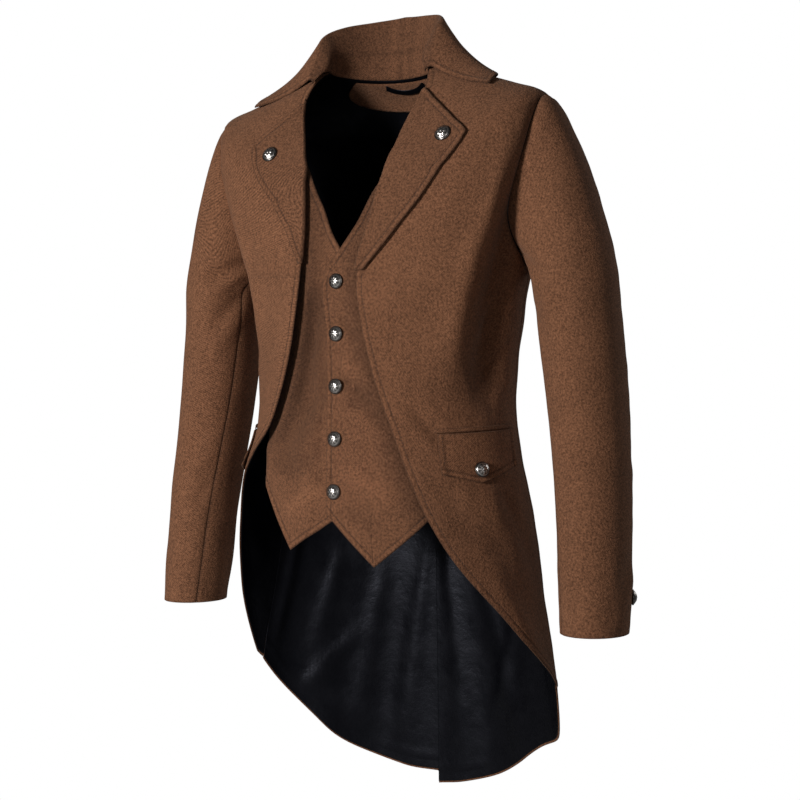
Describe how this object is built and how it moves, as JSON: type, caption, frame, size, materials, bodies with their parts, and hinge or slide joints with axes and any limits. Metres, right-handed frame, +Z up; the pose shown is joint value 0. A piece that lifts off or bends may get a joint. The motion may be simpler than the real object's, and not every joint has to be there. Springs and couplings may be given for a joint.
{
  "type": "cutaway tailcoat with waistcoat front",
  "caption": "Hollow worn-form cutaway tailcoat: cut-away fronts, lapels, stand collar, two-piece sleeves, vented tails and a false waistcoat front.",
  "frame": {"origin": "middle of the neck opening, level with the neck ends of the shoulder seams, where the wearer's neck and shoulders carry the coat", "axes": "+Z up, -Y the way the wearer faces, +X to the wearer's left"},
  "size_m": [0.6364, 0.2646, 0.9638],
  "materials": {
    "brown_twill": "brown fine-ribbed twill, soft nap, matt with a faint sheen",
    "black_lining": "black satin-like lining with a faint blue sheen",
    "antique_silver": "antique silver metal, domed, embossed, darker in the hollows"
  },
  "bodies": {
    "root": {"front_left": "brown_twill", "front_right": "brown_twill", "back_left": "brown_twill", "back_right": "brown_twill", "lining_front_left": "black_lining", "lining_front_right": "black_lining", "lining_back_left": "black_lining", "lining_back_right": "black_lining", "vest_left": "brown_twill", "vest_right": "brown_twill", "lapel_left": "brown_twill", "lapel_right": "brown_twill", "flap_left": "brown_twill", "flap_right": "brown_twill", "pocket_welt_left": "brown_twill", "pocket_welt_right": "brown_twill", "sleeve_top_left": "brown_twill", "sleeve_top_right": "brown_twill", "sleeve_under_left": "brown_twill", "sleeve_under_right": "brown_twill", "collar": "brown_twill", "back_neck_facing": "brown_twill", "hanger_loop": "black_lining", "vest_button_1": "antique_silver", "vest_button_2": "antique_silver", "vest_button_3": "antique_silver", "vest_button_4": "antique_silver", "vest_button_5": "antique_silver", "lapel_button_left": "antique_silver", "lapel_button_right": "antique_silver", "flap_button_left": "antique_silver", "flap_button_right": "antique_silver", "cuff_button_left": "antique_silver", "cuff_button_right": "antique_silver"}
  },
  "joints": []
}
